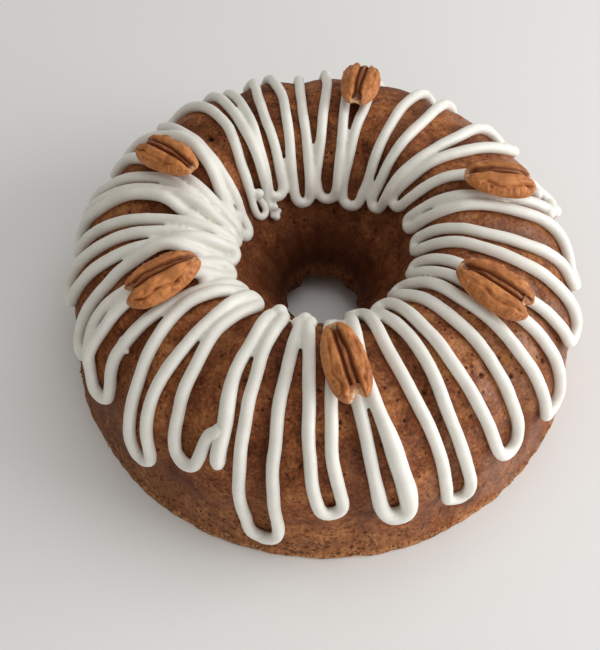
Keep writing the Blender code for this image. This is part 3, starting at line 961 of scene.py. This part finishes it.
def thickness_along(route, diameter, seed):
    """Thickness factor at each station: slow unevenness, thick stretches and round ends."""
    count = len(route)
    factors = np.empty(count)
    for i, (angle, reach) in enumerate(route):
        factors[i] = 1.0 + 0.05 * noise.noise(Vector((i * ROPE_STEP / 0.011, seed, 0.0)))
        factors[i] += 0.025 * noise.noise(Vector((i * ROPE_STEP / 0.0035, seed, 5.0)))
        for spot_angle, spot_reach, half_length, half_width, extra in UNEVEN_STRETCHES:
            across = surface_gap((angle, reach), (spot_angle, reach)) / (half_width * MM)
            along = (reach - spot_reach * MM) / (half_length * MM)
            factors[i] += extra * math.exp(-(across**4) - along**4)
    ends = np.minimum(np.arange(count), np.arange(count)[::-1]) * ROPE_STEP
    rounding = np.clip(ends / (0.5 * diameter), 0.0, 1.0)
    return factors * np.sqrt(np.maximum(1.0 - (1.0 - rounding) ** 2, 0.02))


class Strand:
    """The piped rope laid so far: later stations are lifted over earlier ones."""

    def __init__(self, settings, flute_depth):
        self.settings = settings
        self.flute_depth = flute_depth
        self.laid = []

    def lay(self, route, seed):
        """Stations and radii of one run of the bag, laid over what is there already."""
        factors = thickness_along(route, self.settings.diameter, seed)
        radii = 0.5 * self.settings.diameter * factors
        own_reach = round(2.4 * self.settings.diameter / ROPE_STEP)
        bases, normals, lifts = [], [], np.zeros(len(route))
        placed = np.empty((len(route), 3))
        older = np.array(self.laid).reshape(-1, 4)
        for i, (angle, reach) in enumerate(route):
            sway = noise.noise(Vector((i * ROPE_STEP / 0.014, seed, 9.0))) * self.settings.wobble
            angle += math.degrees(sway * 2.0 / profile_at(reach)[0])
            base, normal = surface(angle, reach, radii[i] - self.settings.sink, self.flute_depth)
            bases.append(base)
            normals.append(normal)
            recent = placed[: max(0, i - own_reach)]
            near = np.vstack([older[:, :3], recent])
            if len(near):
                gap = near - np.array(base)
                up = gap @ np.array(normal)
                side = np.sqrt(np.maximum((gap**2).sum(1) - up**2, 0.0))
                clear = 1.72 * radii[i]
                over = (side < clear) & (np.abs(up) < 3 * self.settings.diameter)
                if over.any():
                    needed = up[over] + np.sqrt(clear**2 - side[over] ** 2)
                    lifts[i] = min(max(needed.max(), 0.0), 1.7 * self.settings.diameter)
            placed[i] = base + normal * lifts[i]
        steps_left = np.arange(len(route))[::-1]
        lifts = blur(lifts, 3) * smooth_step(0.0, END_RUN_OUT, steps_left * ROPE_STEP)
        stations = [b + n * lift for b, n, lift in zip(bases, normals, lifts)]
        self.laid += [(*station, radius) for station, radius in zip(stations, radii)]
        return stations, radii


def pipe_rope(name, stations, radii):
    """A round rope through the stations, as a mesh."""
    deselect_all()
    bpy.ops.curve.primitive_nurbs_path_add()
    rope = name_piece(name)
    rope.data.splines.clear()
    spline = rope.data.splines.new("POLY")
    spline.points.add(len(stations) - 1)
    for point, station, radius in zip(spline.points, stations, radii):
        point.co = (*station, 1.0)
        point.radius = radius / MM
    rope.data.dimensions = "3D"
    rope.data.bevel_depth = MM
    rope.data.bevel_resolution = 4
    rope.data.use_fill_caps = True
    bpy.ops.object.convert(target="MESH")
    return bpy.context.object


def add_blobs(rope, blobs, sink, flute_depth):
    """Add round knobs to a rope's mesh."""
    for angle, reach, radius, lift in blobs:
        place = surface(angle, reach * MM, (radius + lift) * MM - sink, flute_depth)[0]
        deselect_all()
        bpy.ops.mesh.primitive_ico_sphere_add(subdivisions=3, radius=radius * MM, location=place)
        bpy.context.object.select_set(True)
        bpy.context.view_layer.objects.active = rope
        rope.select_set(True)
        bpy.ops.object.join()


def add_pools(rope, flute_depth):
    """Add the broad ribbons that fill the gaps where the strands run together."""
    for i, points in enumerate(POOLS):
        route = smooth_route([(angle, reach * MM) for angle, reach in points], ROPE_STEP)
        places = [surface(*point, POOL_LIFT, flute_depth)[0] for point in route]
        pool = pipe_rope(f"pool_{i}", places, [POOL_RADIUS] * len(places))
        deselect_all()
        pool.select_set(True)
        rope.select_set(True)
        bpy.context.view_layer.objects.active = rope
        bpy.ops.object.join()


def fuse(rope, grain):
    """Fuse touching strands of a rope into one skin that fills the narrowest gaps."""
    use_modifier(rope, "DISPLACE", strength=GAP_FILL, mid_level=0.0)
    use_modifier(rope, "REMESH", mode="VOXEL", voxel_size=grain, use_smooth_shade=True)
    use_modifier(rope, "DISPLACE", strength=-GAP_FILL, mid_level=0.0)
    use_modifier(rope, "SMOOTH", factor=0.5, iterations=3)
    faces = 2 * len(rope.data.polygons)
    if faces > ROPE_FACES:
        use_modifier(rope, "DECIMATE", ratio=ROPE_FACES / faces)
        bpy.ops.object.shade_smooth()


def make_icing(settings, flute_depth):
    strand = Strand(settings, flute_depth)
    first = piping_route(FIRST_START, FIRST_HOOK, FIRST_PIPING, FIRST_LAST, FIRST_TAIL)
    second = piping_route(SECOND_START, SECOND_HOOK, SECOND_PIPING, SECOND_LAST, SECOND_TAIL)
    first_run = pipe_rope("icing_first_run", *strand.lay(smooth_route(first, ROPE_STEP), 1.0))
    add_blobs(first_run, FIRST_BLOBS, settings.sink, flute_depth)
    second_run = pipe_rope("icing_second_run", *strand.lay(smooth_route(second, ROPE_STEP), 4.0))
    add_blobs(second_run, SECOND_BLOBS, settings.sink, flute_depth)
    add_pools(second_run, flute_depth)
    for rope in (first_run, second_run):
        fuse(rope, settings.grain)
    return first_run, second_run


# The pecan halves

def shape_nut(nut, settings, size, width, ridges, grooves, notches, seed):
    """Round a ball, poles along X, into a half nut with lobes, ridge, grooves and wrinkles."""
    points = points_of(nut)
    along = points[:, 0].copy()
    turn = np.degrees(np.arctan2(points[:, 1], points[:, 2]))
    outer = smooth_step(-0.9, 0.9, along)
    ends = np.where(along > 0.0, notches[1], notches[0])
    wander = noise_over(np.column_stack([along * 1.7, along * 0.0]), seed)
    middle = settings.half_width * np.sin(np.radians(ridges[0] * (1 - outer) + ridges[1] * outer))
    middle += 0.0006 * wander

    across = settings.half_width * width * points[:, 1] * (1.0 + 0.10 * along)
    bluntness = np.where(along > 0.0, 0.78, 0.92)
    length = settings.half_length * np.sign(along) * np.abs(along) ** bluntness
    notch = ends * bell(across, middle, 0.0022)
    length -= 0.0024 * notch * np.sign(along) * smooth_step(0.60, 0.98, np.abs(along))
    height = np.where(points[:, 2] > 0.0, 0.80, 0.20) * points[:, 2] + 0.20
    shaped = np.column_stack([length, across, settings.thickness * height])
    nut.data.vertices.foreach_set("co", (shaped * size).ravel())
    nut.data.update()

    top = smooth_step(0.0, 0.45, points[:, 2])
    gap = settings.ridge_width * (0.30 + 0.25 * smooth_step(-1.0, 0.0, along))
    valley = np.zeros(len(points))
    for side in (-1.0, 1.0):
        line = middle + side * gap
        valley += 0.70 * bell(across, line, 0.0007) + 0.30 * bell(across, line, 0.0019)
    window = smooth_step(-0.65, -0.25, along) * smooth_step(0.90, 0.55, along)
    broken = 0.75 + 0.6 * noise_over(np.column_stack([along * 5.0, along * 0.0]), seed + 3)
    flank = 46.0 + 14.0 * noise_over(np.column_stack([along * 3.2, along * 0.0]), seed + 2)
    sides = grooves[0] * bell(turn, -flank, 5.0) + grooves[1] * bell(turn, flank, 5.0)
    depth = valley + 0.26 * bell(across, middle, 0.0012) + 0.42 * sides * window * broken
    rim = smooth_step(44, 60, np.abs(turn)) * (1.0 - np.abs(along) ** 8)
    crease = noise_over(np.column_stack([along * 21.0, turn * 0.03]), seed + 4)
    grain = noise_over(np.column_stack([along * 9.0, turn * 0.16]), seed + 6)
    lumps = noise_over(np.column_stack([along * 4.5, turn * 0.05]), seed + 8)
    relief = 0.00075 * crease * rim + 0.00020 * grain + 0.00070 * lumps
    press(nut, size * top * (settings.groove_depth * depth + relief))
    # The depth drives the painted shade in the grooves and creases.
    store(nut, "depth", np.clip(top * (depth + 700 * relief * rim), 0.0, 1.0))
    store(nut, "tip", np.abs(along) ** 16)
    store(nut, "along", along)
    store(nut, "turn", turn / 180)


def place_nut(nut, number, angle, reach, turn, flute_depth):
    """Lay a nut where the frame holds its plain one, with its long axis across the ring."""
    here, normal = surface(angle, reach * MM, 0.0, flute_depth)
    ahead = surface(angle, reach * MM + 2 * MM, 0.0, flute_depth)[0] - here
    ahead = (ahead - normal * ahead.dot(normal)).normalized()
    turned = Matrix((ahead, normal.cross(ahead), normal)).transposed().to_4x4()
    turned = turned @ Matrix.Rotation(math.radians(turn), 4, "Z")
    low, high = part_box(f"pecan_{number}")
    points = points_of(nut) @ np.array(turned.to_3x3()).T
    middle = 0.5 * (points.min(axis=0) + points.max(axis=0))
    place = Matrix.Translation(0.5 * (low + high) - Vector(middle) - normal * 0.6 * MM)
    nut.data.transform(place @ turned)


def make_pecans(settings, flute_depth):
    nuts = []
    for number, row in enumerate(PECANS, 1):
        angle, reach, turn, size, width = row[:5]
        deselect_all()
        bpy.ops.mesh.primitive_uv_sphere_add(segments=180, ring_count=110, radius=1.0)
        nut = name_piece(f"pecan_half_{number}")
        nut.data.transform(Matrix.Rotation(math.radians(90), 4, "Y"))
        shape_nut(nut, settings, size, width, row[5:7], row[7:9], row[9:11], 3.7 * number)
        place_nut(nut, number, angle, reach, turn, flute_depth)
        nuts.append(nut)
    return nuts


# The stage

def make_floor(settings):
    deselect_all()
    bpy.ops.mesh.primitive_plane_add(size=6.0, location=(0, 0, CAD_LOW.z))
    floor = name_piece("floor")
    floor.data.materials.append(plain_finish("floor", tuple(settings.floor), 0.9))


def make_lights(settings):
    world = bpy.data.worlds.new("sky")
    world.use_nodes = True
    sky = world.node_tree.nodes["Background"]
    sky.inputs["Color"].default_value = (1.0, 0.97, 0.90, 1.0)
    sky.inputs["Strength"].default_value = settings.sky
    bpy.context.scene.world = world
    aim = Vector((0.0, 0.0, 0.04))
    lamps = (
        ("window", (1.15, -0.05, 0.42), 0.9, settings.window),
        ("ceiling", (0.35, 0.20, 1.30), 1.2, settings.ceiling),
        ("front", (0.42, -0.86, 0.13), 0.5, settings.front),
    )
    for name, place, size, power in lamps:
        deselect_all()
        bpy.ops.object.light_add(type="AREA", location=place)
        lamp = bpy.context.object
        lamp.name = name
        lamp.data.size = size
        lamp.data.energy = power
        lamp.rotation_euler = (aim - Vector(place)).to_track_quat("-Z", "Y").to_euler()


def make_camera(settings):
    deselect_all()
    bpy.ops.object.camera_add(location=(0.0, -0.22045, 0.35491))
    camera = bpy.context.object
    right = Vector((0.99944, 0.03203, -0.00938))
    up = Vector((-0.02193, 0.84207, 0.53892))
    back = right.cross(up)
    turned = Matrix((right, up, back)).transposed()
    camera.rotation_euler = turned.to_euler()
    camera.data.lens = settings.lens
    camera.data.sensor_width = 36.0
    camera.data.shift_y = -0.026
    camera.data.clip_start = 0.01
    bpy.context.scene.camera = camera
    bpy.context.scene.view_settings.view_transform = "Standard"


# Operators and panel

class CAKE_OT_crust(Operator):
    """Turn the fluted ring and bake its crust"""

    bl_idname = "ring_cake.crust"
    bl_label = "Crust"

    def execute(self, context):
        settings = context.scene.cake_crust
        finish_piece(make_crust(settings), crust_finish(settings), "cake")
        return {"FINISHED"}


class CAKE_OT_crumbs(Operator):
    """Scatter crumbs along the lip"""

    bl_idname = "ring_cake.crumbs"
    bl_label = "Crumbs"

    def execute(self, context):
        settings = context.scene.cake_crust
        finish_piece(make_crumbs(), crumb_finish(settings), None)
        return {"FINISHED"}


class CAKE_OT_icing(Operator):
    """Pipe the two runs of icing over the crust"""

    bl_idname = "ring_cake.icing"
    bl_label = "Icing"

    def execute(self, context):
        settings = context.scene.cake_icing
        sugar = icing_finish(settings)
        for rope in make_icing(settings, context.scene.cake_crust.flute_depth):
            finish_piece(rope, sugar, "icing")
        return {"FINISHED"}


class CAKE_OT_pecans(Operator):
    """Lay the pecan halves on the icing"""

    bl_idname = "ring_cake.pecans"
    bl_label = "Pecan Halves"

    def execute(self, context):
        settings = context.scene.cake_pecans
        skin = pecan_finish(settings)
        nuts = make_pecans(settings, context.scene.cake_crust.flute_depth)
        for number, nut in enumerate(nuts, 1):
            finish_piece(nut, skin, f"pecan_{number}")
        return {"FINISHED"}


class CAKE_OT_stage(Operator):
    """Set up the floor, the light and the camera"""

    bl_idname = "ring_cake.stage"
    bl_label = "Stage"

    def execute(self, context):
        settings = context.scene.cake_stage
        make_floor(settings)
        make_lights(settings)
        make_camera(settings)
        return {"FINISHED"}


OPERATORS = (CAKE_OT_crust, CAKE_OT_crumbs, CAKE_OT_icing, CAKE_OT_pecans, CAKE_OT_stage)


class CAKE_PT_panel(Panel):
    """Lists the cake's pieces and their sizes and colours"""

    bl_idname = "CAKE_PT_panel"
    bl_label = "Ring Cake"
    bl_space_type = "VIEW_3D"
    bl_region_type = "UI"
    bl_category = "Ring Cake"

    def draw(self, context):
        for operator in OPERATORS:
            self.layout.operator(operator.bl_idname)
        for group in GROUPS:
            settings = getattr(context.scene, group)
            box = self.layout.box()
            for name in settings.__annotations__:
                box.prop(settings, name)


GROUPS = {
    "cake_crust": CrustSettings,
    "cake_icing": IcingSettings,
    "cake_pecans": PecanSettings,
    "cake_stage": StageSettings,
}


def register():
    for name, group in GROUPS.items():
        bpy.utils.register_class(group)
        setattr(bpy.types.Scene, name, PointerProperty(type=group))
    for kind in (*OPERATORS, CAKE_PT_panel):
        bpy.utils.register_class(kind)


def unregister():
    for kind in reversed((*OPERATORS, CAKE_PT_panel)):
        bpy.utils.unregister_class(kind)
    for name, group in GROUPS.items():
        delattr(bpy.types.Scene, name)
        bpy.utils.unregister_class(group)


def main():
    register()
    bpy.ops.ring_cake.crust()
    bpy.ops.ring_cake.crumbs()
    bpy.ops.ring_cake.icing()
    bpy.ops.ring_cake.pecans()
    bpy.ops.ring_cake.stage()


if __name__ == "__main__":
    main()
